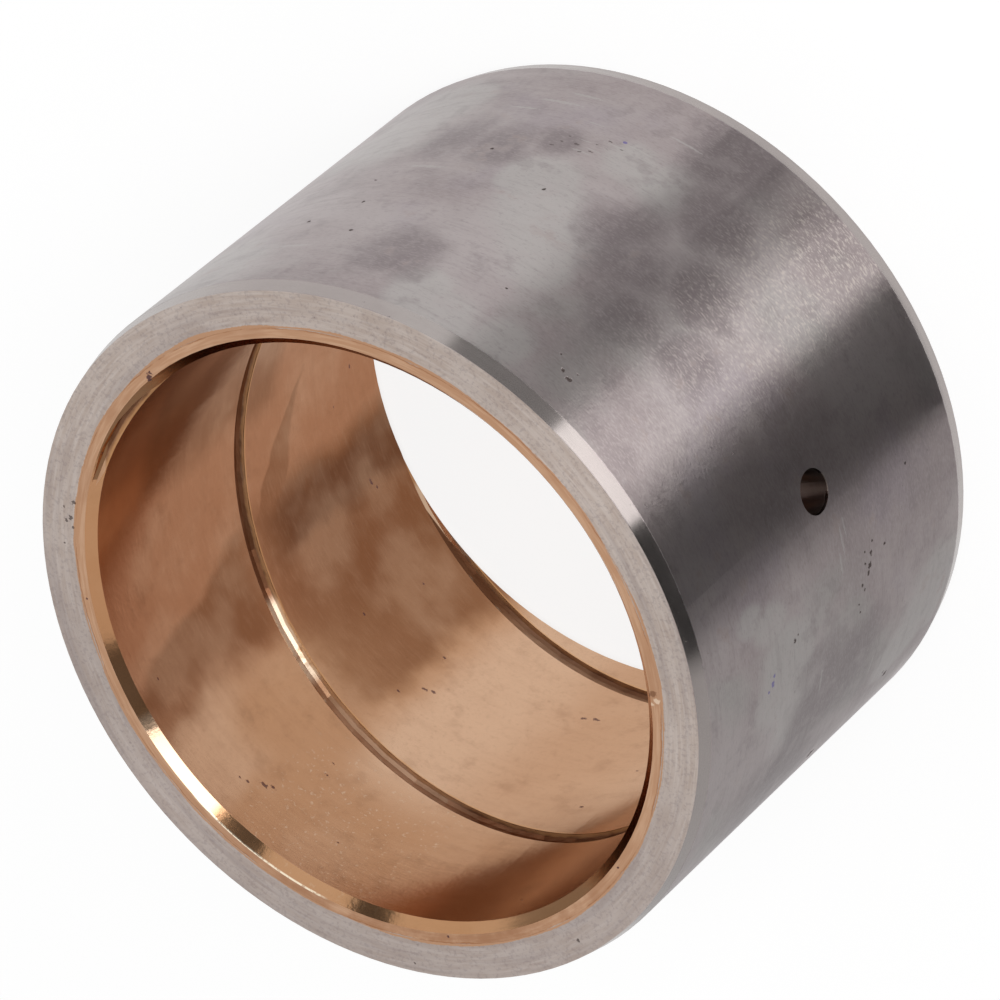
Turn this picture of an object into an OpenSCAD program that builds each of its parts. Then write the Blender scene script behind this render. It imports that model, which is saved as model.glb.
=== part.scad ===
// Bimetal plain bushing: a thick steel shell lined with bronze, in millimetres.
// It stands on its rear end with its axis along Z, and its front end is on top.
// Angles are measured round Z from the oil hole, which points along +X.

/* [Shell] */
// Thickness of the steel shell, from the lining to the outside
shell_thickness = 3.75; // [2.5:0.25:8]
// Length over both end faces
bushing_length = 45; // [36:1:70]
// How deep the lead-in chamfer at each end goes, along the radius
lead_in_depth = 0.35; // [0.2:0.05:1]
// How far the lead-in chamfer reaches, along the axis
lead_in_length = 1.55; // [1:0.05:4]

/* [Lining] */
// Diameter of the bore that runs on the shaft
bore_diameter = 55; // [40:1:80]
// Thickness of the bronze lining
lining_thickness = 1.75; // [1.5:0.05:3]
// Chamfer at each end of the bore, 45 degrees
bore_chamfer = 0.8; // [0.4:0.05:1.2]

/* [Oil groove] */
// Width of the spiral groove at the bore, along the axis
groove_width = 1.6; // [1:0.1:2.5]
// Depth of the round bottom of the groove below the bore
groove_depth = 0.75; // [0.5:0.05:1]
// Advance of the groove along the axis in one turn
groove_lead = 24; // [18:1:40]
// Angle at which the middle of the groove reaches the front end
groove_front_angle = 140; // [90:1:180]

/* [Oil hole] */
// Diameter of the oil hole through shell and lining
oil_hole_diameter = 4; // [2:0.1:8]
// Height of the oil hole above the rear end
oil_hole_height = 22.5; // [10:0.5:26]

/* [Hidden] */

turned_facets = 180;
hole_facets = 48;
cut_margin = 1;

bore_radius = bore_diameter / 2;
lining_radius = bore_radius + lining_thickness;
shell_radius = lining_radius + shell_thickness;

// The groove cutter runs on past both ends, so that the groove is open there
groove_run_out = 2 * groove_width;
groove_sweep = 360 * (bushing_length + 2 * groove_run_out) / groove_lead;
groove_first_angle = groove_front_angle + 360 * groove_run_out / groove_lead;
groove_ring_spacing = 7.5;
groove_ring_count = ceil(groove_sweep / groove_ring_spacing);
groove_arc_steps = 6;

// The flanks stay straight for twice the sag between two rings, so that they cross the bore cleanly
groove_shoulder = 2 * (bore_radius + groove_depth) * (1 - cos(groove_ring_spacing / 2));
groove_arc_depth = groove_depth - groove_shoulder;

steel_colour = [0.66, 0.64, 0.63];
bronze_colour = [0.72, 0.5, 0.34];

// Outline of the groove cutter as [radius, height]: straight flanks that an arc joins in the lining
groove_outline = [
    [bore_radius - cut_margin, -groove_width / 2],
    [bore_radius - cut_margin, groove_width / 2],
    for (step = [0 : groove_arc_steps])
        let (turn = 180 * step / groove_arc_steps)
        [
            bore_radius + groove_shoulder + groove_arc_depth * sin(turn),
            groove_width / 2 * cos(turn)
        ]
];
groove_corners = len(groove_outline);

function groove_angle(ring) = groove_first_angle - groove_sweep * ring / groove_ring_count;

function groove_height(angle) =
    bushing_length + groove_lead * (angle - groove_front_angle) / 360;

function groove_ring(angle) = [
    for (point = groove_outline)
        [point.x * cos(angle), point.x * sin(angle), groove_height(angle) + point.y]
];

// Two triangles between one side of a ring and the same side of the next ring
function groove_side(ring, corner) =
    let (
        here = ring * groove_corners + corner,
        beside = ring * groove_corners + (corner + 1) % groove_corners
    )
    [
        [here, beside, beside + groove_corners],
        [here, beside + groove_corners, here + groove_corners]
    ];

// A round thread that winds down the bore
module oil_groove_cut() {
    last_ring = groove_ring_count * groove_corners;
    polyhedron(
        points = [
            for (ring = [0 : groove_ring_count])
                each groove_ring(groove_angle(ring))
        ],
        faces = [
            [for (corner = [groove_corners - 1 : -1 : 0]) corner],
            for (ring = [0 : groove_ring_count - 1])
                for (corner = [0 : groove_corners - 1])
                    each groove_side(ring, corner),
            [for (corner = [0 : groove_corners - 1]) last_ring + corner]
        ]
    );
}

module oil_hole_cut() {
    translate([0, 0, oil_hole_height])
        rotate([0, 90, 0])
            cylinder(d = oil_hole_diameter, h = shell_radius + cut_margin, $fn = hole_facets);
}

module steel_shell() {
    color(steel_colour)
        difference() {
            rotate_extrude($fn = turned_facets)
                polygon([
                    [lining_radius, 0],
                    [shell_radius - lead_in_depth, 0],
                    [shell_radius, lead_in_length],
                    [shell_radius, bushing_length - lead_in_length],
                    [shell_radius - lead_in_depth, bushing_length],
                    [lining_radius, bushing_length]
                ]);
            oil_hole_cut();
        }
}

module bronze_lining() {
    color(bronze_colour)
        difference() {
            rotate_extrude($fn = turned_facets)
                polygon([
                    [bore_radius + bore_chamfer, 0],
                    [lining_radius, 0],
                    [lining_radius, bushing_length],
                    [bore_radius + bore_chamfer, bushing_length],
                    [bore_radius, bushing_length - bore_chamfer],
                    [bore_radius, bore_chamfer]
                ]);
            oil_groove_cut();
            oil_hole_cut();
        }
}

steel_shell();
bronze_lining();
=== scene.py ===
import math

import bpy
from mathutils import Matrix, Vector

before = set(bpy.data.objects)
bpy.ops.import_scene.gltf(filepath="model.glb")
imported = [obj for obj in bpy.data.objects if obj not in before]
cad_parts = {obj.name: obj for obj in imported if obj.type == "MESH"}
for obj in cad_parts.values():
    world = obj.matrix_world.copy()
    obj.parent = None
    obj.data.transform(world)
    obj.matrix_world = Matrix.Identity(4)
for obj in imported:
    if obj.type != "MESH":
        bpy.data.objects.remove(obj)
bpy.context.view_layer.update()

# Everything is in metres, in the CAD frame. The bushing stands on z = 0 with its front end on
# top, and angles are in degrees round Z from the oil hole, which points along +X.
MM = 0.001
OUTSIDE = 33 * MM
INTERFACE = 29.25 * MM
BORE = 27.5 * MM
LENGTH = 45 * MM
LEAD_IN_DEPTH = 0.35 * MM
BORE_CHAMFER = 0.8 * MM
HOLE_RADIUS = 2 * MM
HOLE_HEIGHT = 22.5 * MM
GROOVE_LEAD = 24 * MM
GROOVE_HALF_WIDTH = 0.8 * MM
GROOVE_FRONT_ANGLE = 140

# The camera, fitted to the photograph's ellipses, and the azimuth from which it looks
CAMERA_PLACE = (0.4043, 0.2110, 0.4928)
CAMERA_TURN = (-32.314, 31.742, -22.87)
CAMERA_AZIMUTH = 27.5
LENS_MM = 274.06
SENSOR_MM = 36
CLIP_START = 0.01
CLIP_END = 50


def make_camera():
    data = bpy.data.cameras.new("camera")
    data.lens = LENS_MM
    data.sensor_width = SENSOR_MM
    data.clip_start = CLIP_START
    data.clip_end = CLIP_END
    camera = bpy.data.objects.new("camera", data)
    camera.location = CAMERA_PLACE
    camera.rotation_euler = [math.radians(angle) for angle in CAMERA_TURN]
    bpy.context.scene.collection.objects.link(camera)
    bpy.context.scene.camera = camera


make_camera()


def on_part(angle, radius, height):
    """The point at an angle in degrees, a radius and a height in metres."""
    turn = math.radians(angle)
    return Vector((radius * math.cos(turn), radius * math.sin(turn), height))


# A Noise Texture of scale 1 has features about this many metres across
NOISE_FEATURE = 0.5
# The depth in a mark, as a share of its size, from which its uneven edge counts in full
SPOT_EDGE = 0.15


class Nodes:
    """Short names for the nodes of one material or world."""

    def __init__(self, tree):
        self.tree = tree
        tree.nodes.clear()

    def add(self, kind, **settings):
        node = self.tree.nodes.new(kind)
        for name, value in settings.items():
            setattr(node, name, value)
        return node

    def put(self, value, socket):
        if isinstance(value, bpy.types.NodeSocket):
            self.tree.links.new(value, socket)
        else:
            socket.default_value = value

    def math(self, operation, first, second=0.0, third=0.0):
        node = self.add("ShaderNodeMath", operation=operation)
        for value, socket in zip((first, second, third), node.inputs):
            self.put(value, socket)
        return node.outputs[0]

    def times(self, *factors):
        product = factors[0]
        for factor in factors[1:]:
            product = self.math("MULTIPLY", product, factor)
        return product

    def most(self, *values):
        top = values[0]
        for value in values[1:]:
            top = self.math("MAXIMUM", top, value)
        return top

    def ramp(self, value, low, high, to_low=0.0, to_high=1.0):
        """A smooth step from to_low at low to to_high at high."""
        node = self.add("ShaderNodeMapRange", interpolation_type="SMOOTHSTEP")
        for index, entry in enumerate((value, low, high, to_low, to_high)):
            self.put(entry, node.inputs[index])
        return node.outputs[0]

    def band(self, value, low, high, soft):
        """1 between low and high, with smooth sides that are soft wide."""
        rise = self.ramp(value, low - soft / 2, low + soft / 2)
        fall = self.ramp(value, high - soft / 2, high + soft / 2, 1.0, 0.0)
        return self.math("MULTIPLY", rise, fall)

    def stretched(self, vector, stretch):
        node = self.add("ShaderNodeVectorMath", operation="MULTIPLY")
        self.put(vector, node.inputs[0])
        node.inputs[1].default_value = stretch
        return node.outputs[0]

    def noise(self, vector, size, detail=2, roughness=0.5, stretch=(1, 1, 1), offset=0.0):
        """Noise from 0 to 1 whose features are about size metres across."""
        node = self.add("ShaderNodeTexNoise")
        place = self.add("ShaderNodeMapping")
        place.inputs["Location"].default_value = (offset, offset, offset)
        place.inputs["Scale"].default_value = stretch
        self.put(vector, place.inputs["Vector"])
        self.put(place.outputs[0], node.inputs["Vector"])
        node.inputs["Scale"].default_value = NOISE_FEATURE / size
        node.inputs["Detail"].default_value = detail
        node.inputs["Roughness"].default_value = roughness
        return node.outputs["Fac"]

    def mix(self, share, first, second):
        """A mix from the first colour to the second."""
        node = self.add("ShaderNodeMix", data_type="RGBA")
        self.put(share, node.inputs[0])
        for value, socket in zip((first, second), node.inputs[6:8]):
            is_socket = isinstance(value, bpy.types.NodeSocket)
            self.put(value if is_socket else (*value, 1), socket)
        return node.outputs[2]

    def over(self, base, colour, share, *masks):
        """The base with a share of a colour laid over it, where all the masks are 1."""
        return self.mix(self.times(*masks, share), base, colour)

    def spots(self, place, marks, noise, low, high, amount, stretch=(1, 1, 1)):
        """The mask of marks whose edges a noise makes uneven, and which is empty elsewhere.

        A mark is a point and a size. A stretch of more than 1 makes it flatter that way. Low and
        high are where the mask rises, as shares of a mark's depth, and amount is the unevenness.
        """
        here = self.stretched(place, stretch)
        depth = 0.0
        for centre, size in marks:
            node = self.add("ShaderNodeVectorMath", operation="DISTANCE")
            self.put(here, node.inputs[0])
            node.inputs[1].default_value = [c * s for c, s in zip(centre, stretch)]
            inside = self.math("MULTIPLY_ADD", node.outputs["Value"], -1 / size, 1.0)
            depth = self.math("MAXIMUM", inside, depth)
        uneven = self.math("MULTIPLY_ADD", noise, amount, -amount / 2)
        mask = self.ramp(self.math("ADD", depth, uneven), low, high)
        return self.times(mask, self.ramp(depth, 0.0, SPOT_EDGE))


def new_material(name):
    """An empty material, and its nodes."""
    material = bpy.data.materials.new(name)
    material.use_nodes = True
    return material, Nodes(material.node_tree)


def seen_directly(n):
    """1 for a ray from the camera, off metal or through glass, 0 for light that falls on things."""
    path = n.add("ShaderNodeLightPath")
    kinds = ("Camera", "Glossy", "Transmission")
    return n.most(*(path.outputs[f"Is {kind} Ray"] for kind in kinds))


# The world's strength for the light that falls on things, and where it is seen
AMBIENT = 0.62
BACKDROP = 1.0


def make_world():
    world = bpy.data.worlds.new("studio")
    bpy.context.scene.world = world
    world.use_nodes = True
    n = Nodes(world.node_tree)
    background = n.add("ShaderNodeBackground")
    background.inputs["Color"].default_value = (1, 1, 1, 1)
    strength = n.math("MULTIPLY_ADD", seen_directly(n), BACKDROP - AMBIENT, AMBIENT)
    n.put(strength, background.inputs["Strength"])
    output = n.add("ShaderNodeOutputWorld")
    n.put(background.outputs[0], output.inputs["Surface"])


FLOOR_SIZE = 3.0
# Its colour for the light that it throws on things
FLOOR_COLOUR = 0.85
# Where it is seen, its glow and the part of it that shows the shadow
FLOOR_GLOW = 0.84
FLOOR_SHADED = 0.2


def make_floor():
    """A floor that lights the part as a pale one does, and looks white with a soft shadow."""
    bpy.ops.mesh.primitive_grid_add(x_subdivisions=2, y_subdivisions=2, size=FLOOR_SIZE)
    floor = bpy.context.object
    floor.name = "floor"
    material, n = new_material("floor_white")
    plain = n.add("ShaderNodeBsdfDiffuse")
    plain.inputs["Color"].default_value = (FLOOR_COLOUR,) * 3 + (1,)
    shade = n.add("ShaderNodeBsdfDiffuse")
    shade.inputs["Color"].default_value = (FLOOR_SHADED,) * 3 + (1,)
    glow = n.add("ShaderNodeEmission")
    glow.inputs["Strength"].default_value = FLOOR_GLOW
    both = n.add("ShaderNodeAddShader")
    n.put(shade.outputs[0], both.inputs[0])
    n.put(glow.outputs[0], both.inputs[1])
    mix = n.add("ShaderNodeMixShader")
    n.put(seen_directly(n), mix.inputs[0])
    n.put(plain.outputs[0], mix.inputs[1])
    n.put(both.outputs[0], mix.inputs[2])
    output = n.add("ShaderNodeOutputMaterial")
    n.put(mix.outputs[0], output.inputs["Surface"])
    floor.data.materials.append(material)


# The softbox, which the bore's front chamfer and the groove mirror as a gleam
SOFTBOX_PLACE = on_part(21.5, 0.52, 0.45)
SOFTBOX_AIM = Vector((0, 0, 0.03))
SOFTBOX_SIZE = (0.31, 0.9)
SOFTBOX_WATTS = 2.2


def make_softbox():
    data = bpy.data.lights.new("softbox", "AREA")
    data.shape = "RECTANGLE"
    data.size, data.size_y = SOFTBOX_SIZE
    data.energy = SOFTBOX_WATTS
    lamp = bpy.data.objects.new("softbox", data)
    lamp.location = SOFTBOX_PLACE
    lamp.rotation_euler = (SOFTBOX_AIM - SOFTBOX_PLACE).to_track_quat("-Z", "Y").to_euler()
    bpy.context.scene.collection.objects.link(lamp)


# The cards that a photographer lays round shiny metal, flat on the floor, where only the metal
# mirrors them: angles on the part between which a card shows, how far from the foot it starts
# and ends, and its brightness, where the backdrop is 1
CARD_MIDDLE = 0.028
CARD_NEAR = 0.06
CARD_FAR = 0.6
CARDS = (
    ("grey_card", -50, -6, 0, CARD_FAR, 0.66),
    ("grey_edge", -6, -4, 0, CARD_FAR, 0.4),
    ("black_card", -4, 15.6, 0, CARD_MIDDLE, 0.12),
    ("black_edge", 15.6, 17.1, 0, CARD_MIDDLE, 0.32),
    ("strip_edge", 17.1, 18.6, 0, CARD_MIDDLE, 0.66),
    ("strip_light", 18.6, 28.5, 0, CARD_MIDDLE, 1.0),
    ("strip_edge_side", 28.5, 31.5, 0, CARD_MIDDLE, 0.72),
    ("black_card_middle", -4, 16.4, CARD_MIDDLE, CARD_NEAR, 0.12),
    ("strip_edge_middle", 16.4, 19.2, CARD_MIDDLE, CARD_NEAR, 0.44),
    ("strip_light_middle", 19.2, 28.8, CARD_MIDDLE, CARD_NEAR, 0.86),
    ("strip_side_middle", 28.8, 31.5, CARD_MIDDLE, CARD_NEAR, 0.62),
    ("dim_card", 31.5, 41, 0, CARD_NEAR, 0.52),
    ("dim_card_side", 41, 50, 0, CARD_NEAR, 0.66),
    ("black_card_far", -4, 16, CARD_NEAR, CARD_FAR, 0.02),
    ("strip_light_far", 16, 32, CARD_NEAR, CARD_FAR, 2.1),
    ("dim_card_far", 32, 50, CARD_NEAR, CARD_FAR, 0.3),
)
# How far a card lies above the floor and off the part, and the angle between its columns
CARD_HEIGHT = 0.0004
CARD_STEP = 2

# Upright cards that the bore's chamfers mirror: the azimuths and the heights between which each
# stands, and its brightness
FLAG_DISTANCE = 0.4
FLAGS = (
    ("black_flag", 328, 362, 0.1, 0.7, 0.2),
    ("dim_flag", 43, 62, 0.1, 0.7, 0.16),
    ("thin_flag", 97, 110, 0.1, 0.45, 0.12),
    ("low_flag", 138, 290, 0.0, 0.165, 0.42),
)


def card_columns(start, end):
    """The angles of the columns of a card."""
    count = max(2, round((end - start) / CARD_STEP) + 1)
    return [start + (end - start) * column / (count - 1) for column in range(count)]


def make_card(name, points, level):
    """A glowing sheet through pairs of points, which only metal and glass see."""
    faces = [(i, i + 1, i + 3, i + 2) for i in range(0, len(points) - 2, 2)]
    mesh = bpy.data.meshes.new(name)
    mesh.from_pydata(points, [], faces)
    material, n = new_material(name)
    glow = n.add("ShaderNodeEmission")
    glow.inputs["Strength"].default_value = level
    output = n.add("ShaderNodeOutputMaterial")
    n.put(glow.outputs[0], output.inputs["Surface"])
    mesh.materials.append(material)
    card = bpy.data.objects.new(name, mesh)
    card.visible_camera = False
    card.visible_diffuse = False
    card.visible_shadow = False
    bpy.context.scene.collection.objects.link(card)


def lay_card(name, start, end, near, far, level):
    """A card whose columns run away from the part along the way that it mirrors the camera."""
    points = []
    for angle in card_columns(start, end):
        foot = on_part(angle, OUTSIDE + CARD_HEIGHT, CARD_HEIGHT)
        away = on_part(2 * angle - CAMERA_AZIMUTH, 1, 0)
        points += [foot + away * near, foot + away * far]
    make_card(name, points, level)


def stand_flag(name, start, end, low, high, level):
    points = []
    for azimuth in card_columns(start, end):
        points += [on_part(azimuth, FLAG_DISTANCE, height) for height in (low, high)]
    make_card(name, points, level)


make_world()
make_floor()
make_softbox()
for card in CARDS:
    lay_card(*card)
for flag in FLAGS:
    stand_flag(*flag)


# How far the normal of an end face points up or down, where the face begins and counts in full
FACE_TILT = (0.85, 0.95)
# The rings on the end faces are fine along the radius and long round the part
RING_FINENESS = 8.0
RING_LENGTH = 0.5


class Turned:
    """What both metals read of the point that they colour, in the CAD frame."""

    def __init__(self, n):
        self.point = n.add("ShaderNodeTexCoord").outputs["Object"]
        parts = n.add("ShaderNodeSeparateXYZ")
        n.put(self.point, parts.inputs[0])
        self.x, self.y, self.z = parts.outputs
        square = n.math("MULTIPLY", self.x, self.x)
        square = n.math("MULTIPLY_ADD", self.y, self.y, square)
        self.radius = n.math("SQRT", square)
        turn = n.math("ARCTAN2", self.y, self.x)
        share = n.math("FRACT", n.math("DIVIDE", turn, 2 * math.pi))
        self.angle = n.math("MULTIPLY", share, 360)
        facing = n.add("ShaderNodeSeparateXYZ")
        n.put(n.add("ShaderNodeNewGeometry").outputs["Normal"], facing.inputs[0])
        self.face = n.ramp(n.math("ABSOLUTE", facing.outputs[2]), *FACE_TILT)
        rings = n.add("ShaderNodeCombineXYZ")
        n.put(n.math("MULTIPLY", self.radius, RING_FINENESS), rings.inputs[0])
        n.put(n.math("MULTIPLY", self.x, RING_LENGTH), rings.inputs[1])
        n.put(n.math("MULTIPLY", self.y, RING_LENGTH), rings.inputs[2])
        self.rings = rings.outputs[0]


# A quarter turn lays the streaks of a gleam across the turning marks
GLEAM_TURN = 0.25


def metal_shader(n, colour, edge_tint, roughness, anisotropy, bump_height, bump_distance):
    shader = n.add("ShaderNodeBsdfPrincipled")
    n.put(colour, shader.inputs["Base Color"])
    shader.inputs["Metallic"].default_value = 1
    shader.inputs["Specular Tint"].default_value = (*edge_tint, 1)
    n.put(roughness, shader.inputs["Roughness"])
    shader.inputs["Anisotropic"].default_value = anisotropy
    shader.inputs["Anisotropic Rotation"].default_value = GLEAM_TURN
    tangent = n.add("ShaderNodeTangent", direction_type="RADIAL", axis="Z")
    n.put(tangent.outputs[0], shader.inputs["Tangent"])
    bump = n.add("ShaderNodeBump")
    bump.inputs["Strength"].default_value = 1
    bump.inputs["Distance"].default_value = bump_distance
    n.put(bump_height, bump.inputs["Height"])
    n.put(bump.outputs[0], shader.inputs["Normal"])
    output = n.add("ShaderNodeOutputMaterial")
    n.put(shader.outputs[0], output.inputs["Surface"])


def on_wall(radius, marks):
    """Marks for Nodes.spots, from their angle, height and size on a wall."""
    return [(on_part(angle, radius, height * MM), size * MM) for angle, height, size in marks]


def on_rim(marks):
    """Marks for Nodes.spots, from their angle, radius, height and size at an end."""
    return [(on_part(a, radius * MM, height * MM), size * MM) for a, radius, height, size in marks]


# How far off the oil hole's wall its painted shade begins and ends, and how deep its wall starts
HOLE_SOFT_START = 0.02 * MM
HOLE_SOFT_END = 0.1 * MM
HOLE_TOP = 0.1 * MM


def in_hole(n, at):
    """1 on the wall of the oil hole."""
    across = n.math("MULTIPLY", at.y, at.y)
    up = n.math("SUBTRACT", at.z, HOLE_HEIGHT)
    reach = n.math("SQRT", n.math("MULTIPLY_ADD", up, up, across))
    inner, outer = HOLE_RADIUS + HOLE_SOFT_START, HOLE_RADIUS + HOLE_SOFT_END
    inside = n.ramp(reach, inner, outer, 1.0, 0.0)
    ahead = n.math("GREATER_THAN", at.x, 0.0)
    deep = n.math("LESS_THAN", at.radius, OUTSIDE - HOLE_TOP)
    return n.times(inside, ahead, deep)


# The smeared joint of the metals on the end faces: how far it wanders in broad and in fine
# waves, how far inside the true joint it starts in each metal, and how wide its edge is
JOINT_WAVE = 0.9 * MM
JOINT_GRAIN = 0.16 * MM
STEEL_JOINT_INSET = 0.38 * MM
BRONZE_JOINT_INSET = 0.55 * MM
JOINT_EDGE = 0.05 * MM


def past_joint(n, at, clouds, grain, inset):
    """How far outside the smeared joint a point lies."""
    joint = n.math("MULTIPLY_ADD", clouds, JOINT_WAVE, INTERFACE - inset)
    joint = n.math("MULTIPLY_ADD", grain, JOINT_GRAIN, joint)
    return n.math("SUBTRACT", at.radius, joint)


# Marks on the outside, as angle, height and size in degrees and millimetres
STEEL_PITS = on_wall(OUTSIDE, (
    (-23.6, 18.6, 0.28), (-22.0, 18.9, 0.2), (-20.4, 17.9, 0.24), (-19.3, 18.3, 0.3),
    (-18.2, 17.2, 0.34), (-17.1, 16.9, 0.42), (-16.2, 17.6, 0.26), (-15.4, 16.6, 0.36),
    (-14.4, 17.5, 0.22), (-15.8, 14.3, 0.26), (-13.7, 16.2, 0.2), (-18, 29.6, 0.34),
    (-17.4, 29.1, 0.22), (81, 34, 0.34), (91, 32, 0.32), (62, 21, 0.3), (40, 38, 0.26),
    (53, 35.2, 0.22), (-46, 9.1, 0.5), (-44.6, 9.9, 0.3), (-51.5, 19.5, 0.8), (-7, 9.2, 0.22),
    (85, 28.6, 0.24), (36.5, 39.7, 0.5), (38, 39.4, 0.36), (75, 17.2, 0.26), (88, 24.2, 0.22),
    (13, 30, 0.16),
))
NICKS = on_wall(OUTSIDE, (
    (64.5, 13.2, 0.5), (63.2, 14.1, 0.55), (62, 13.5, 0.5), (62.2, 12.2, 0.4), (61, 11.1, 0.45),
    (67, 13.5, 0.4), (67.6, 14.4, 0.5), (60.4, 12.3, 0.5), (66.4, 12.4, 0.4), (58.6, 11.6, 0.35),
    (36.2, 38.6, 0.4), (-27, 29.5, 0.3),
))
VIOLET_DOTS = on_wall(OUTSIDE, (
    (59.2, 10.4, 0.34), (-21.8, 33.4, 0.5), (-20.6, 33.1, 0.34), (-22.6, 34.1, 0.3),
))
PALE_SMEARS = on_wall(OUTSIDE, (
    (55, 27, 5.5), (60, 24, 5), (52, 31, 4), (64, 19.5, 4.2), (-20, 31, 4.2), (-26, 31.6, 4.5),
    (-12, 33.2, 2.6), (-31, 29.5, 4.2), (-9, 35.6, 2.2), (62, 40, 3.6), (56, 42.5, 4),
    (49, 14, 4.2), (56, 12.6, 3.6), (-40, 9, 4), (47, 41.5, 3.6), (100, 40, 8), (96, 12, 8),
    (-33, 3.5, 6),
))
# Part of these dark smears is painted dark reflection, beside the bright band and in the grey
# stretch; the rest are real smears
DARK_SMEARS_AND_PAINTED_SHADE = on_wall(OUTSIDE, (
    (39, 28.5, 5.5), (42, 24, 6), (27, 27.5, 4.2), (48, 20, 5.5), (34, 21.5, 5.5), (41, 13, 5.5),
    (67, 13.6, 3), (75, 16.4, 4.2), (83, 15.8, 4.6), (70, 36, 5.2), (-35, 21.5, 9), (-47, 26, 9),
    (45, 4.5, 7),
))
SCRATCHES = on_wall(OUTSIDE, (
    (63, 14, 1.8), (61.5, 13.2, 1.4), (60, 11.4, 1.6), (64, 12.3, 1.2), (-22, 33, 1.6),
    (-24, 32.2, 1.1), (57, 10.6, 1.8), (65.5, 9.4, 1.5), (78, 9.3, 3), (74, 7.4, 3.4), (71, 5.6, 3),
    (-10, 20.6, 2.6), (-13, 21.3, 2), (-8, 19.9, 2.2), (52, 6.8, 2.6), (82, 21.5, 3.4),
    (-38, 14.5, 2.6), (-30, 24.8, 2.4), (47, 41.2, 2), (88, 37, 3.6),
))
# Marks on the shell's front face, as angle, radius, height and size
FACE_SPECKS = on_rim((
    (152.6, 29.7, 45, 0.35), (153.5, 30.2, 45, 0.25), (151, 30.5, 45, 0.2), (149.4, 29.6, 45, 0.3),
    (154.4, 29.5, 45, 0.22), (158, 30.4, 45, 0.2), (-70, 31.2, 45, 0.25), (-104, 31.8, 45, 0.2),
))

# The edges of those marks, as low, high and amount for Nodes.spots, and how they are stretched
PALE_EDGE = (0.05, 0.6, 1.8)
PALE_STRETCH = (1, 1, 0.75)
DARK_EDGE = (0.0, 0.7, 1.6)
DARK_STRETCH = (1, 1, 0.8)
SCRATCH_EDGE = (0.3, 0.6, 1.2)
SCRATCH_STRETCH = (1, 1, 11)
PIT_EDGE = (0.35, 0.6, 1.9)
NICK_EDGE = (0.45, 0.8, 2.4)
NICK_STRETCH = (1, 1, 2.2)
DOT_EDGE = (0.35, 0.6, 1.2)

STEEL = (0.36, 0.304, 0.302)
STEEL_PALE = (0.43, 0.38, 0.376)
STEEL_DARK = (0.225, 0.188, 0.192)
STEEL_SMEAR = (0.455, 0.43, 0.415)
# The pale colour of the painted glint in the bright band
STEEL_PAINTED_GLINT = (0.66, 0.585, 0.53)
STEEL_BROWN = (0.33, 0.25, 0.225)
STEEL_RIM = (0.40, 0.36, 0.342)
STEEL_FACE = (0.425, 0.348, 0.305)
STEEL_FACE_PALE = (0.52, 0.45, 0.41)
# Painted shade for the wall of the oil hole in the shell
STEEL_HOLE_PAINTED_SHADE = (0.075, 0.05, 0.042)
STEEL_EDGE = (1, 1, 1)
GREENISH = (0.35, 0.355, 0.33)
PURPLISH = (0.32, 0.27, 0.3)
PIT_COLOUR = (0.07, 0.05, 0.045)
VIOLET = (0.06, 0.04, 0.32)
BRONZE_FACE = (0.465, 0.265, 0.158)

# The arc of the outside that carries a painted glint, in its band of mirrored light, and the
# heights where it is least and most
GLINT_ARC = (16, 36, 10)
GLINT_HEIGHTS = (42 * MM, 4 * MM)
# The arc of the end faces that is darker
DIM_FACE_ARC = (165, 325, 30)

# How far inside the outside the lead-in chamfer's colour stays, and how soft its edges are
LEAD_IN_GAP = 0.02 * MM
LEAD_IN_SOFT = 0.03 * MM

STEEL_ROUGHNESS = 0.25
STEEL_ANISOTROPY = 0.9
STEEL_BUMP = 0.02 * MM


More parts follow.
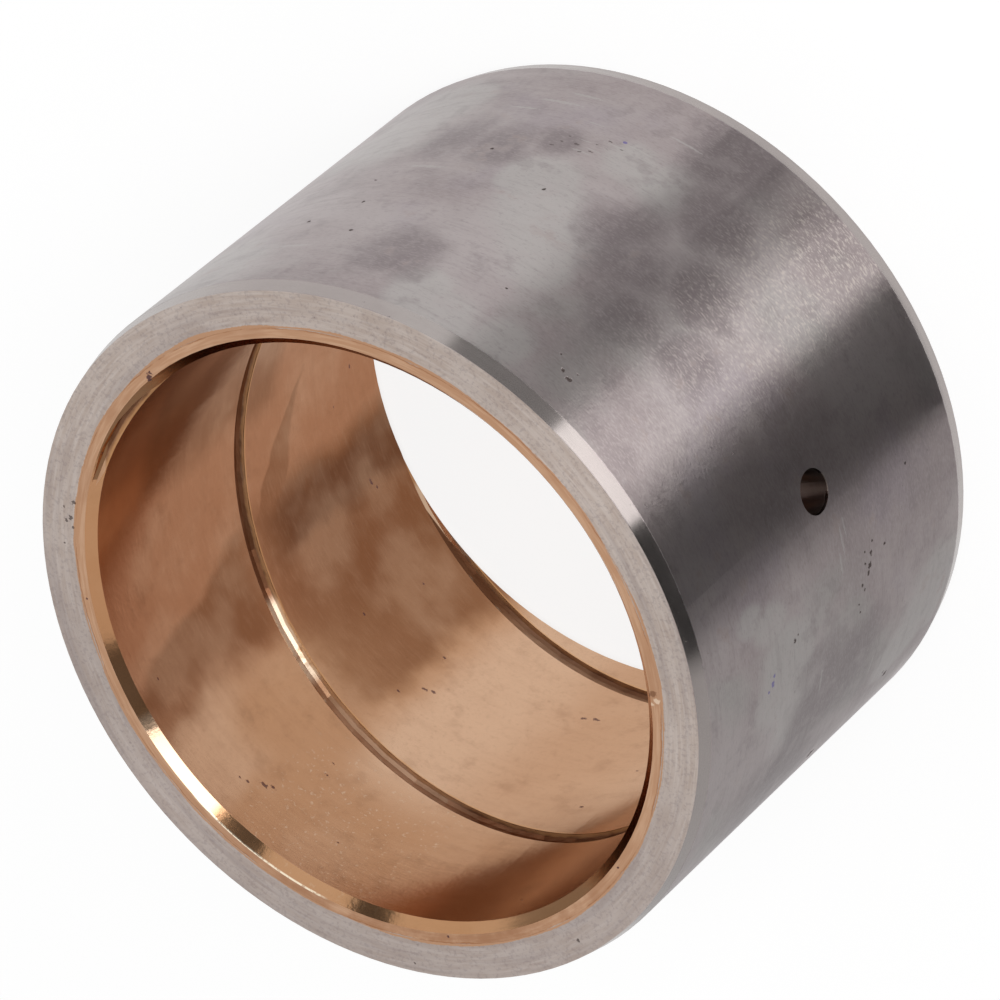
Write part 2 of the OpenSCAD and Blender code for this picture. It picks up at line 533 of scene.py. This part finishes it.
def make_steel():
    material, n = new_material("steel_turned")
    at = Turned(n)

    # Turning and polishing marks run round the part, on the faces as rings
    strokes = n.noise(at.point, 0.24 * MM, roughness=0.6, stretch=(1, 1, 3))
    long_strokes = n.noise(at.point, 2.4 * MM, 3, 0.65, stretch=(1, 1, 9), offset=3.1)
    rings = n.noise(at.rings, 1.1 * MM, 3, 0.6)
    broad_rings = n.noise(at.rings, 5 * MM, offset=1.7)
    grain = n.noise(at.point, 0.16 * MM, roughness=0.6)
    clouds = n.noise(at.point, 5.5 * MM, 4, 0.55, offset=0.9)
    broad_clouds = n.noise(at.point, 11 * MM, 3, stretch=(1, 1, 1.4), offset=2.3)
    tints = n.noise(at.point, 6.5 * MM, 3, offset=5.2)
    blotches = n.noise(at.point, 1.4 * MM, 4, 0.6, offset=6.6)

    chamfer = n.times(
        n.band(at.radius, OUTSIDE - LEAD_IN_DEPTH, OUTSIDE - LEAD_IN_GAP, LEAD_IN_SOFT),
        n.ramp(at.face, 0.2, 0.8, 1.0, 0.0),
    )
    turned = n.math("SUBTRACT", 1.0, chamfer)

    # The outside: cloudy tints, then smears, some dark ones of which are painted dark reflection,
    # stains, turning marks, a painted glint in the bright band and scratches
    side = n.mix(n.ramp(broad_clouds, 0.38, 0.62), STEEL, STEEL_PALE)
    side = n.over(side, STEEL_DARK, 0.35, n.ramp(broad_clouds, 0.5, 0.3))
    side = n.over(side, STEEL_DARK, 0.4, n.ramp(clouds, 0.48, 0.7))
    side = n.over(side, GREENISH, 0.4, n.ramp(tints, 0.52, 0.68))
    side = n.over(side, PURPLISH, 0.4, n.ramp(tints, 0.46, 0.32))
    pale = n.spots(at.point, PALE_SMEARS, clouds, *PALE_EDGE, PALE_STRETCH)
    side = n.over(side, STEEL_SMEAR, 0.7, pale)
    # Dark smears, partly painted dark reflection
    dark = n.spots(at.point, DARK_SMEARS_AND_PAINTED_SHADE, clouds, *DARK_EDGE, DARK_STRETCH)
    side = n.over(side, STEEL_DARK, 0.82, dark)
    side = n.over(side, STEEL_DARK, 0.18, n.ramp(long_strokes, 0.5, 0.7))
    side = n.over(side, STEEL_PALE, 0.28, n.ramp(blotches, 0.53, 0.66))
    side = n.over(side, STEEL_DARK, 0.28, n.ramp(blotches, 0.46, 0.34))
    side = n.over(side, STEEL_BROWN, 0.35, n.ramp(blotches, 0.58, 0.68), n.ramp(tints, 0.5, 0.4))
    side = n.over(side, STEEL_PALE, 0.3, n.ramp(strokes, 0.48, 0.66), turned)
    side = n.over(side, STEEL_DARK, 0.28, n.ramp(strokes, 0.46, 0.3), turned)
    # Painted highlight: pale sparkle where the outside mirrors the strip light, stronger towards
    # the rear
    painted_glint = n.times(n.band(at.angle, *GLINT_ARC), n.ramp(at.z, *GLINT_HEIGHTS, 0.2, 1.0), turned)
    side = n.over(side, STEEL_PAINTED_GLINT, 0.6, painted_glint, n.ramp(strokes, 0.5, 0.68))
    scratches = n.spots(at.point, SCRATCHES, grain, *SCRATCH_EDGE, SCRATCH_STRETCH)
    side = n.over(side, STEEL_SMEAR, 0.5, scratches)
    side = n.over(side, STEEL_RIM, 0.75, chamfer)

    # The end faces
    face = n.mix(n.ramp(rings, 0.35, 0.75), STEEL_FACE, STEEL_FACE_PALE)
    face = n.over(face, STEEL_FACE_PALE, 0.5, n.ramp(blotches, 0.42, 0.66))
    face = n.over(face, STEEL_DARK, 0.25, n.ramp(broad_rings, 0.5, 0.7))
    face = n.over(face, STEEL_DARK, 0.2, n.band(at.angle, *DIM_FACE_ARC))
    face = n.over(face, STEEL_DARK, 0.3, n.ramp(grain, 0.5, 0.66))
    bare = n.mix(at.face, side, face)

    # The bronze creeps over the joint on the end faces, unevenly
    past = past_joint(n, at, clouds, grain, STEEL_JOINT_INSET)
    bare = n.mix(n.times(at.face, n.ramp(past, 0, JOINT_EDGE, 1, 0)), bare, BRONZE_FACE)

    pits = n.spots(at.point, STEEL_PITS, grain, *PIT_EDGE)
    fine_pits = n.times(n.ramp(grain, 0.725, 0.76), n.ramp(clouds, 0.5, 0.6))
    specks = n.spots(at.point, FACE_SPECKS, grain, *PIT_EDGE)
    nicks = n.spots(at.point, NICKS, grain, *NICK_EDGE, NICK_STRETCH)
    marks = n.most(n.times(pits, 0.85), n.times(fine_pits, 0.4), n.times(specks, 0.65))
    marks = n.most(marks, n.times(nicks, 0.55))
    bare = n.mix(marks, bare, PIT_COLOUR)
    violet = n.spots(at.point, VIOLET_DOTS, grain, *DOT_EDGE)
    bare = n.over(bare, VIOLET, 0.6, violet)
    # Painted shade: the oil hole's wall is darkened
    bare = n.over(bare, STEEL_HOLE_PAINTED_SHADE, 0.9, in_hole(n, at))

    # Streaks and marks are rougher, and the lead-in chamfer is smoother
    roughness = n.math("MULTIPLY_ADD", long_strokes, 0.12, STEEL_ROUGHNESS)
    roughness = n.math("MULTIPLY_ADD", chamfer, -0.1, roughness)
    roughness = n.math("ADD", roughness, n.times(marks, 0.3))

    height = n.math("MULTIPLY_ADD", strokes, 0.5, n.times(grain, 0.35))
    height = n.math("MULTIPLY_ADD", n.times(rings, at.face), 0.8, height)
    height = n.times(height, turned)
    height = n.math("SUBTRACT", height, n.times(marks, 2.0))
    metal_shader(n, bare, STEEL_EDGE, roughness, STEEL_ANISOTROPY, height, STEEL_BUMP)
    return material


# Marks on the bore, as angle, height and size in degrees and millimetres
BORE_SPECKS = on_wall(BORE, (
    (213, 40, 0.5), (215.4, 38.9, 0.75), (217, 38.4, 0.6), (211.6, 40.3, 0.35), (222, 33, 0.4),
    (221, 31.4, 0.3), (219, 19.3, 0.45), (222, 17, 0.7), (223.4, 16.6, 0.5), (220, 12.3, 0.5),
    (249, 10.3, 0.8), (251, 9.9, 0.7), (185.6, 6.1, 0.5), (187, 5.7, 0.35), (162.5, 4.6, 0.4),
    (266, 24, 0.4), (188, 41.4, 0.3), (207, 7.6, 0.5), (204, 15.8, 0.3), (233, 39, 0.25),
    (168, 7.8, 0.25), (276, 41, 0.3), (183, 37.8, 0.25), (270, 17.5, 0.3),
))
# Marks at the lining's front rim, as angle, radius, height and size. The notch is a nick that
# the photograph shows there, drawn only in colour: painted shade for its bottom beside a painted
# highlight on its flank.
RIM_SPECKS = on_rim((
    (115, 28.5, 45, 0.55), (114, 28.7, 44.9, 0.35), (-14.2, 28.3, 44.7, 0.4),
    (137, 28.0, 44.6, 0.3), (-52, 28.7, 45, 0.2), (168, 28.8, 45, 0.2), (-96, 28.6, 45, 0.25),
))
NOTCH_PAINTED_GLEAM = on_rim((
    (-14.9, 28.9, 45, 0.42), (-15.7, 28.5, 44.8, 0.36),
))
NOTCH_PAINTED_SHADE = on_rim((
    (-13.6, 28.6, 45, 0.5), (-13.8, 28.1, 44.6, 0.4),
))

# The edges of those marks, as low, high and amount for Nodes.spots, and how they are stretched
SPECK_EDGE = (0.36, 0.76, 2.4)
SPECK_STRETCH = (1, 1, 2.4)
RIM_SPECK_EDGE = (0.35, 0.6, 1.8)
NOTCH_EDGE = (0.2, 0.5, 1.4)

BRONZE = (0.50, 0.272, 0.15)
BRONZE_EDGE = (0.92, 0.84, 0.76)
BRONZE_PALE = (0.66, 0.43, 0.285)
BRONZE_TAN = (0.37, 0.168, 0.088)
BRONZE_BROWN = (0.205, 0.082, 0.036)
BRONZE_FACE_PALE = (0.54, 0.335, 0.215)
BRONZE_FACE_DARK = (0.33, 0.16, 0.085)
# The darkest painted shade in the bore
BRONZE_DEEP_PAINTED_SHADE = (0.12, 0.045, 0.02)
BRONZE_CUT = (0.47, 0.25, 0.12)
# The colour of the painted highlight along the groove's rear edge
BRONZE_LIP_GLINT = (0.62, 0.33, 0.14)
RUST = (0.30, 0.125, 0.05)
# The colour of the painted glint beside the chamfer's rim
EDGE_GLINT = (0.98, 0.85, 0.66)
CREAM = (0.82, 0.66, 0.50)
DARK_BROWN = (0.16, 0.07, 0.035)
PURPLE = (0.085, 0.038, 0.052)

# How far the edges of the bore's patches waver, in degrees and metres
WAVER_TURN = 12
WAVER_LEVEL = 4 * MM

# The patches of the bore, which are painted reflection and shade. An edge goes from where a patch
# is absent to where it is in full, in degrees round the part or in metres up, and a band goes from
# low to high with soft sides. The wedge lies between two slanting lines, each given by its slope
# in metres for a degree and by the number that makes it 0 on the line.
UPPER_SLANT = -0.67 / MM
UPPER_LEFT = (157.5, 161)
UPPER_RIGHT = (201, 191)
UPPER_FOOT = (21 * MM, 27 * MM)
LOWER_BAND = (173, 218, 6)
LOWER_TOP = (28 * MM, 20 * MM)
LOWER_TOP_FADE = (22 * MM, 11 * MM)
LOWER_RIGHT_FADE = (198, 210)
WEDGE_UNDER = (-0.54 * MM, 72.6 * MM)
WEDGE_OVER = (-0.24 * MM, 25.7 * MM)
WEDGE_SOFT = 0.7 * MM
WEDGE_RIGHT = (180, 176)
SIDE_BAND = (260, 300, 17)
SIDE_FOOT = (19 * MM, 29 * MM)
CORNER_BAND = (125, 155, 8)
CORNER_LEVELS = (16 * MM, 37 * MM, 3 * MM)
DEEP_BAND = (176, 187, 5)
DEEP_TOP = (23 * MM, 17 * MM)
PALE_LEFT = (217, 228)
PALE_RIGHT = (320, 275)
PALE_RIGHT_FADE = (236, 250)
PALE_TOP = (34 * MM, 26 * MM)
PALE_RIM_BAND = (196, 213, 5)
PALE_RIM_FOOT = (33 * MM, 40 * MM)
LIGHT_LEFT = (191, 204)
LIGHT_RIGHT = (345, 295)
FLECK_BAND = (214, 250, 6)
FLECK_FOOT = (25 * MM, 31 * MM)

# Bands on the bore's chamfer, on the lining's front face and along the groove
# The chamfer's painted highlight, and the painted glint beside its rim
PAINTED_GLEAM_BAND = (192, 213, 2)
EDGE_GLINT_BAND = (209, 238, 3)
TARNISH_BAND = (215, 305, 30)
# The groove's painted highlight and paler painted reflection, and where its painted shade is
# lighter on the front and rear turns
GROOVE_GLEAM_BAND = (191, 207, 3)
GROOVE_SHEEN_BAND = (212, 244, 8)
GROOVE_LIT_BAND = (190, 238, 8)
REAR_LIT_LEFT = (196, 226)
# The heights between which the groove's rear turn goes over to its front turn
FRONT_TURN = (8 * MM, 14 * MM)

# Soft edges of the bevel and of the groove, and where the painted glint lies beside the bevel's rim
BEVEL_SOFT = 0.1 * MM
GROOVE_SOFT = 0.08 * MM
EDGE_GLINT_INSIDE = 0.06 * MM
EDGE_GLINT_OUTSIDE = 0.12 * MM
EDGE_GLINT_SOFT = 0.06 * MM
# The dark line between the metals, from inside to outside the smeared joint, and its softness
RUST_LINE = (-0.09 * MM, 0.04 * MM, 0.06 * MM)
# The painted highlight along the rear edge of the groove, how far its line waves and how far in it
# starts
LIP_GLINT_BAND = (-0.12 * MM, 0.1 * MM, 0.1 * MM)
LIP_GLINT_WAVE = 0.3 * MM
LIP_GLINT_INSET = 0.12 * MM

BRONZE_ROUGHNESS = 0.13
BRONZE_ANISOTROPY = 0.5
BRONZE_BUMP = 0.008 * MM


def between_edges(n, value, first, second):
    """1 between two edges, each given as for Nodes.ramp."""
    return n.times(n.ramp(value, *first), n.ramp(value, *second))


def off_groove(n, at):
    """How far above the middle of the nearest turn of the groove a point lies."""
    ahead = 360 / GROOVE_LEAD
    along = n.math("MULTIPLY_ADD", at.z, ahead, -LENGTH * ahead)
    along = n.math("SUBTRACT", n.math("ADD", along, GROOVE_FRONT_ANGLE), at.angle)
    return n.math("MULTIPLY", n.math("WRAP", along, 180, -180), GROOVE_LEAD / 360)


def make_bronze():
    material, n = new_material("bronze_burnished")
    at = Turned(n)

    strokes = n.noise(at.point, 0.7 * MM, 3, 0.6, stretch=(1, 1, 6))
    streaks = n.noise(at.point, 3.2 * MM, 3, 0.6, stretch=(1, 1, 7), offset=2.2)
    rings = n.noise(at.rings, 1.0 * MM, 3, 0.6)
    grain = n.noise(at.point, 0.2 * MM, roughness=0.6)
    mottle = n.noise(at.point, 1.3 * MM, 4, 0.6, offset=4.4)
    clouds = n.noise(at.point, 4.5 * MM, 3, 0.55, offset=1.9)

    # The bore's patches are painted reflection and shade: darker patches where the wall mirrors
    # shade, between pale, pinkish ones where it mirrors light
    turn = n.math("ADD", at.angle, n.math("MULTIPLY_ADD", clouds, WAVER_TURN, -WAVER_TURN / 2))
    level = n.math("ADD", at.z, n.math("MULTIPLY_ADD", clouds, WAVER_LEVEL, -WAVER_LEVEL / 2))
    slant = n.math("MULTIPLY_ADD", at.z, UPPER_SLANT, turn)
    upper = n.times(
        n.ramp(slant, *UPPER_LEFT),
        n.ramp(turn, *UPPER_RIGHT),
        n.ramp(level, *UPPER_FOOT),
    )
    lower = n.times(
        n.band(turn, *LOWER_BAND),
        n.ramp(level, *LOWER_TOP),
        n.ramp(level, *LOWER_TOP_FADE, 0.78, 1.0),
        n.ramp(turn, *LOWER_RIGHT_FADE, 1.0, 0.85),
    )
    under = n.math("MULTIPLY_ADD", turn, WEDGE_UNDER[0], n.math("ADD", at.z, WEDGE_UNDER[1]))
    over = n.math("MULTIPLY_ADD", turn, WEDGE_OVER[0], n.math("ADD", at.z, WEDGE_OVER[1]))
    wedge = n.times(
        n.ramp(under, WEDGE_SOFT, 0),
        n.ramp(over, 0, WEDGE_SOFT),
        n.ramp(turn, *WEDGE_RIGHT),
    )
    side = n.times(n.band(turn, *SIDE_BAND), n.ramp(level, *SIDE_FOOT), 0.35)
    corner = n.times(n.band(turn, *CORNER_BAND), n.band(level, *CORNER_LEVELS), 0.8)
    painted_dark_patches = n.most(n.times(upper, 0.9), lower, n.times(wedge, 0.75), side, corner)
    # Painted reflection: pale, pinkish patches where the wall mirrors light
    pale = n.times(between_edges(n, turn, PALE_LEFT, PALE_RIGHT), n.ramp(level, *PALE_TOP))
    painted_pale_rim = n.times(n.band(turn, *PALE_RIM_BAND), n.ramp(level, *PALE_RIM_FOOT), 0.55)
    pale = n.most(pale, painted_pale_rim)

    # Painted reflection: the wall is the lighter bronze between LIGHT_LEFT and LIGHT_RIGHT and
    # darker tan elsewhere
    wall = n.mix(between_edges(n, turn, LIGHT_LEFT, LIGHT_RIGHT), BRONZE_TAN, BRONZE)
    wall = n.mix(n.times(pale, n.ramp(turn, *PALE_RIGHT_FADE, 0.95, 0.4)), wall, BRONZE_PALE)
    # Painted dark reflection and shade: the darker patches, and a deeper band low in the bore
    wall = n.over(wall, BRONZE_BROWN, 0.95, painted_dark_patches)
    wall = n.over(wall, BRONZE_DEEP_PAINTED_SHADE, 0.78, n.band(turn, *DEEP_BAND), n.ramp(level, *DEEP_TOP))
    wall = n.over(wall, BRONZE_PALE, 0.2, n.ramp(clouds, 0.42, 0.66))
    wall = n.over(wall, BRONZE_BROWN, 0.2, n.ramp(mottle, 0.5, 0.75))
    wall = n.over(wall, BRONZE_BROWN, 0.08, n.ramp(streaks, 0.45, 0.8))
    wall = n.over(wall, BRONZE_PALE, 0.07, n.ramp(strokes, 0.45, 0.8))
    wall = n.over(wall, BRONZE_BROWN, 0.12, n.ramp(grain, 0.5, 0.8))
    flecks = n.times(n.band(turn, *FLECK_BAND), n.ramp(level, *FLECK_FOOT))
    wall = n.over(wall, CREAM, 0.3, flecks, n.ramp(grain, 0.58, 0.74))

    # The chamfer is cut bright, with a painted highlight where it mirrors the softbox and a painted
    # glint on its outer edge
    clear = n.band(at.z, BORE_CHAMFER, LENGTH - BORE_CHAMFER, BEVEL_SOFT)
    bevel = n.times(n.math("SUBTRACT", 1.0, clear), n.ramp(at.face, 1, 0))
    wall = n.over(wall, BRONZE_CUT, 0.6, bevel)
    # Painted highlight on the chamfer
    wall = n.over(wall, CREAM, 0.4, bevel, n.band(at.angle, *PAINTED_GLEAM_BAND))
    rim = BORE + BORE_CHAMFER
    # Painted highlight: a glint along the chamfer's outer edge
    edge_glint = n.band(at.radius, rim - EDGE_GLINT_INSIDE, rim + EDGE_GLINT_OUTSIDE, EDGE_GLINT_SOFT)
    edge_glint = n.times(edge_glint, n.band(at.angle, *EDGE_GLINT_BAND), n.ramp(grain, 0.36, 0.5, 0.35, 1.0))

    face = n.mix(n.ramp(rings, 0.40, 0.66), BRONZE_FACE, BRONZE_FACE_PALE)
    face = n.over(face, BRONZE_FACE_DARK, 0.4, n.ramp(clouds, 0.5, 0.7))
    tarnish = n.times(n.band(at.angle, *TARNISH_BAND), n.ramp(mottle, 0.3, 0.6))
    face = n.over(face, BRONZE_FACE_DARK, 0.65, tarnish)
    bare = n.mix(at.face, wall, face)
    bare = n.over(bare, EDGE_GLINT, 0.9, edge_glint)

    # Steel shows over the joint on the end faces, with a dark line between the metals
    past = past_joint(n, at, clouds, grain, BRONZE_JOINT_INSET)
    bare = n.mix(n.times(at.face, n.ramp(past, 0, JOINT_EDGE)), bare, STEEL_FACE)
    bare = n.over(bare, RUST, 0.6, at.face, n.band(past, *RUST_LINE), n.ramp(mottle, 0.3, 0.6))

    # The groove is painted dark as shade in its recess, lighter where its turns catch light, with a
    # painted highlight and a paler painted reflection on its front turn and a painted highlight
    # along its rear edge
    off = off_groove(n, at)
    groove = n.times(n.band(off, -GROOVE_HALF_WIDTH, GROOVE_HALF_WIDTH, GROOVE_SOFT), clear)
    wave = n.math("MULTIPLY_ADD", mottle, LIP_GLINT_WAVE, GROOVE_HALF_WIDTH - LIP_GLINT_INSET)
    groove_lip_glint = n.times(n.band(n.math("ADD", off, wave), *LIP_GLINT_BAND), clear)
    front_turn = n.ramp(at.z, *FRONT_TURN)
    rear_turn = n.ramp(at.z, *FRONT_TURN, 1.0, 0.0)
    # Painted shade in the groove, lighter on the stretches that catch light
    groove_painted_shade = n.math("MULTIPLY_ADD", n.times(front_turn, n.band(turn, *GROOVE_LIT_BAND)), -0.62, 0.88)
    rear_lit = n.times(rear_turn, n.ramp(turn, *REAR_LIT_LEFT))
    groove_painted_shade = n.math("MULTIPLY_ADD", rear_lit, -0.36, groove_painted_shade)
    bare = n.mix(n.times(groove, groove_painted_shade, n.ramp(strokes, 0.3, 0.6, 1.0, 0.7)), bare, DARK_BROWN)
    # Painted highlight in the groove's front turn
    groove_gleam = n.times(groove, front_turn, n.band(at.angle, *GROOVE_GLEAM_BAND))
    bare = n.over(bare, CREAM, 0.9, groove_gleam, n.ramp(mottle, 0.3, 0.45))
    # Painted reflection: paler stretch of the groove's front turn
    groove_sheen = n.times(groove, front_turn, n.band(at.angle, *GROOVE_SHEEN_BAND))
    bare = n.over(bare, BRONZE_PALE, 0.65, groove_sheen, n.ramp(mottle, 0.35, 0.55, 0.4, 1.0))
    # Painted highlight along the groove's rear edge
    bare = n.over(bare, BRONZE_LIP_GLINT, 0.5, groove_lip_glint)

    specks = n.spots(at.point, BORE_SPECKS, grain, *SPECK_EDGE, SPECK_STRETCH)
    rim_specks = n.spots(at.point, RIM_SPECKS, grain, *RIM_SPECK_EDGE)
    fine = n.times(n.ramp(grain, 0.7, 0.8), n.ramp(mottle, 0.56, 0.66))
    marks = n.most(n.times(specks, 0.7), n.times(rim_specks, 0.85))
    bare = n.mix(n.most(marks, n.times(fine, 0.2)), bare, PURPLE)
    # Painted shade in the nick's bottom and a painted highlight on its flank
    notch = n.spots(at.point, NOTCH_PAINTED_SHADE, grain, *NOTCH_EDGE)
    bare = n.over(bare, DARK_BROWN, 0.7, notch)
    notch_gleam = n.spots(at.point, NOTCH_PAINTED_GLEAM, grain, *NOTCH_EDGE)
    bare = n.over(bare, CREAM, 0.6, notch_gleam)
    # Painted shade: the oil hole's wall in the lining is darkened
    bare = n.over(bare, DARK_BROWN, 0.85, in_hole(n, at))

    # The faces, the groove and the marks are rougher, and the chamfer is smoother
    roughness = n.math("MULTIPLY_ADD", streaks, 0.08, BRONZE_ROUGHNESS)
    roughness = n.math("MULTIPLY_ADD", mottle, 0.06, roughness)
    roughness = n.math("MULTIPLY_ADD", at.face, 0.18, roughness)
    in_groove = n.math("MULTIPLY_ADD", front_turn, -0.17, 0.35)
    roughness = n.math("ADD", roughness, n.times(groove, in_groove))
    roughness = n.math("MULTIPLY_ADD", bevel, -0.07, roughness)
    roughness = n.math("ADD", roughness, n.times(marks, 0.3))

    height = n.math("MULTIPLY_ADD", strokes, 0.5, n.times(grain, 0.4))
    height = n.math("MULTIPLY_ADD", mottle, 1.2, height)
    height = n.math("SUBTRACT", height, n.times(marks, 1.5))
    metal_shader(n, bare, BRONZE_EDGE, roughness, BRONZE_ANISOTROPY, height, BRONZE_BUMP)
    return material


def dress(node, material):
    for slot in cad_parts[node].material_slots:
        slot.material = material


dress("steel_shell", make_steel())
dress("bronze_lining", make_bronze())

bpy.context.scene.view_settings.view_transform = "Standard"
